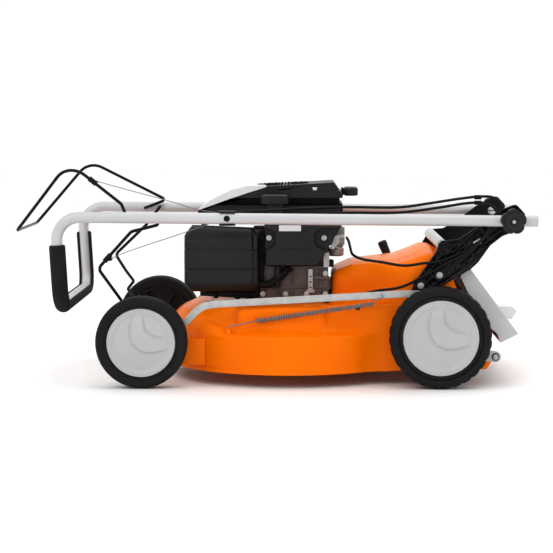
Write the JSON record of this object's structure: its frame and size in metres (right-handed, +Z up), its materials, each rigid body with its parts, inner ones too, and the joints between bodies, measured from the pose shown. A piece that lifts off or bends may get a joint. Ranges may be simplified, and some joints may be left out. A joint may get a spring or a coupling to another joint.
{
  "type": "push lawn mower",
  "caption": "Petrol push lawn mower with a round steel deck, rear discharge, height-adjustable wheels, drive and stop bails, and a fold-down U-shaped handle.",
  "frame": {"origin": "on the ground, under the middle of the folded mower's box", "axes": "+X towards the mower's rear, -Y towards its left side, +Z up"},
  "size_m": [1.0316, 0.504, 0.4273],
  "materials": {
    "deck_paint": "gloss powder coat",
    "black_paint": "satin black",
    "engine_plastic": "fine-grained moulding",
    "casting": "as cast",
    "dark_casting": "as cast, dark",
    "tube_finish": "light grey satin coat",
    "zinc": "zinc plated",
    "steel": "bare steel",
    "tyre": "black rubber",
    "wheel_plastic": "light grey moulding",
    "flap_plastic": "light grey moulding",
    "trim": "silver white gloss",
    "rubber": "moulded rubber",
    "grip_rubber": "soft grip cover",
    "cable_sheath": "extruded black sheath",
    "filter_paper": "pleated filter paper"
  },
  "bodies": {
    "chassis": {"deck": "deck_paint", "chute_floor": "engine_plastic", "engine_block": "dark_casting", "cylinder_head": "casting", "spark_plug": "rubber", "muffler": "steel", "engine_shroud": "engine_plastic", "shroud_trim": "trim", "fuel_tank": "engine_plastic", "air_filter_cover": "engine_plastic", "air_filter_element": "filter_paper", "air_filter_base": "engine_plastic", "carburettor": "casting", "brake_bracket": "zinc", "breather_tube": "rubber", "bracket_left": "black_paint", "bracket_right": "black_paint", "cross_tube": "tube_finish", "front_bracket_left": "deck_paint", "front_bracket_right": "deck_paint", "rear_plate_left": "flap_plastic", "rear_plate_right": "flap_plastic", "stop_cable": "cable_sheath", "drive_cable": "cable_sheath", "assist_spring": "steel", "drive_belt": "rubber"},
    "axle": {"rear_axle": "zinc"},
    "transmission": {"gearbox": "casting"},
    "transmission_pulley": {"gearbox_pulley": "steel"},
    "crank_left": {"front_crank_left": "zinc"},
    "crank_right": {"front_crank_right": "zinc"},
    "bar_left": {"link_bar_left": "zinc"},
    "bar_right": {"link_bar_right": "zinc"},
    "lever": {"height_lever": "zinc", "height_lever_grip": "engine_plastic"},
    "front_left": {"tyre_front_left": "tyre", "wheel_front_left": "wheel_plastic"},
    "front_right": {"tyre_front_right": "tyre", "wheel_front_right": "wheel_plastic"},
    "rear_left": {"tyre_rear_left": "tyre", "wheel_rear_left": "wheel_plastic"},
    "rear_right": {"tyre_rear_right": "tyre", "wheel_rear_right": "wheel_plastic"},
    "rear_flap": {"flap": "flap_plastic"},
    "handle": {"handle_tube": "tube_finish", "handle_grip": "grip_rubber", "cable_bracket": "engine_plastic", "stop_wire": "steel", "drive_wire": "steel"},
    "bail_stop": {"stop_bail": "black_paint"},
    "bail_drive": {"drive_bail": "black_paint"},
    "left_knob": {"knob_left": "engine_plastic"},
    "right_knob": {"knob_right": "engine_plastic"},
    "rotor": {"crankshaft": "steel", "flywheel": "casting", "engine_pulley": "steel", "blade": "steel", "blade_bolt": "zinc"},
    "starter": {"starter_grip": "engine_plastic"},
    "cap": {"fuel_cap": "engine_plastic"}
  },
  "joints": [
    {"name": "handle_fold", "type": "hinge", "parent": "chassis", "child": "handle", "pos_m": [0.466, 0, 0.3264], "axis": [0, 1, 0], "range_deg": [0, 140], "deforming": ["stop_cable", "drive_cable"]},
    {"name": "stop_bail_pivot", "type": "hinge", "parent": "handle", "child": "bail_stop", "pos_m": [-0.286, 0, 0.3304], "axis": [0, -1, 0], "range_deg": [0, 37], "stiffness_Nm_per_rad": 0.8, "springref_deg": -57.3, "deforming": ["stop_wire"]},
    {"name": "drive_bail_pivot", "type": "hinge", "parent": "handle", "child": "bail_drive", "pos_m": [-0.253, 0, 0.333], "axis": [0, 1, 0], "range_deg": [0, 33], "stiffness_Nm_per_rad": 0.6, "springref_deg": -34.38, "deforming": ["drive_wire"]},
    {"name": "flap_hinge", "type": "hinge", "parent": "chassis", "child": "rear_flap", "pos_m": [0.378, 0, 0.234], "axis": [0, -1, 0], "range_deg": [0, 75], "stiffness_Nm_per_rad": 0.2, "springref_deg": -28.65},
    {"name": "height_rear", "type": "hinge", "parent": "chassis", "child": "axle", "pos_m": [0.382, 0, 0.0746], "axis": [0, -1, 0], "range_deg": [0, 50], "deforming": ["assist_spring", "drive_belt"]},
    {"name": "height_front_left", "type": "hinge", "parent": "chassis", "child": "crank_left", "pos_m": [-0.2016, -0.19, 0.0646], "axis": [0, -1, 0], "range_deg": [0, 50]},
    {"name": "height_front_right", "type": "hinge", "parent": "chassis", "child": "crank_right", "pos_m": [-0.2016, 0.19, 0.0646], "axis": [0, -1, 0], "range_deg": [0, 50]},
    {"name": "link_left_pivot", "type": "hinge", "parent": "crank_left", "child": "bar_left", "pos_m": [-0.1838, -0.1965, 0.1135], "axis": [0, -1, 0], "range_deg": [-50, 0]},
    {"name": "link_right_pivot", "type": "hinge", "parent": "crank_right", "child": "bar_right", "pos_m": [-0.1838, 0.1965, 0.1135], "axis": [0, -1, 0], "range_deg": [-50, 0]},
    {"name": "height_lever_pivot", "type": "hinge", "parent": "chassis", "child": "lever", "pos_m": [0.285, 0.19, 0.11], "axis": [0, -1, 0], "range_deg": [0, 25]},
    {"name": "transmission_level", "type": "hinge", "parent": "axle", "child": "transmission", "pos_m": [0.3275, 0, 0.1], "axis": [0, -1, 0], "range_deg": [-50, 0]},
    {"name": "crankshaft_spin", "type": "hinge", "parent": "chassis", "child": "rotor", "pos_m": [0.029, 0, 0.1], "axis": [0, 0, 1], "continuous": true},
    {"name": "transmission_pulley_spin", "type": "hinge", "parent": "transmission", "child": "transmission_pulley", "pos_m": [0.28, 0, 0.132], "axis": [0, 0, 1], "continuous": true},
    {"name": "front_left_spin", "type": "hinge", "parent": "crank_left", "child": "front_left", "pos_m": [-0.256, -0.2275, 0.09], "axis": [0, 1, 0], "continuous": true},
    {"name": "front_right_spin", "type": "hinge", "parent": "crank_right", "child": "front_right", "pos_m": [-0.256, 0.2275, 0.09], "axis": [0, 1, 0], "continuous": true},
    {"name": "rear_left_spin", "type": "hinge", "parent": "axle", "child": "rear_left", "pos_m": [0.3275, -0.2275, 0.1], "axis": [0, 1, 0], "continuous": true},
    {"name": "rear_right_spin", "type": "hinge", "parent": "axle", "child": "rear_right", "pos_m": [0.3275, 0.2275, 0.1], "axis": [0, 1, 0], "continuous": true},
    {"name": "left_knob_turn", "type": "hinge", "parent": "chassis", "child": "left_knob", "pos_m": [0.466, -0.239, 0.3264], "axis": [0, 1, 0], "continuous": true},
    {"name": "right_knob_turn", "type": "hinge", "parent": "chassis", "child": "right_knob", "pos_m": [0.466, 0.239, 0.3264], "axis": [0, 1, 0], "continuous": true},
    {"name": "starter_pull", "type": "slide", "parent": "chassis", "child": "starter", "axis": [1, 0, 0], "range_m": [0, 0.5], "stiffness_N_per_m": 10, "springref_m": -0.1},
    {"name": "fuel_cap_turn", "type": "hinge", "parent": "chassis", "child": "cap", "pos_m": [0.002, -0.105, 0.363], "axis": [0, 0, 1], "continuous": true}
  ],
  "couplings": [
    {"joint": "height_front_left", "follows": "height_rear", "ratio": 1},
    {"joint": "height_front_right", "follows": "height_rear", "ratio": 1},
    {"joint": "link_left_pivot", "follows": "height_rear", "ratio": -1},
    {"joint": "link_right_pivot", "follows": "height_rear", "ratio": -1},
    {"joint": "height_lever_pivot", "follows": "height_rear", "ratio": 0.5},
    {"joint": "transmission_level", "follows": "height_rear", "ratio": -1},
    {"joint": "transmission_pulley_spin", "follows": "crankshaft_spin", "ratio": 0.7}
  ]
}
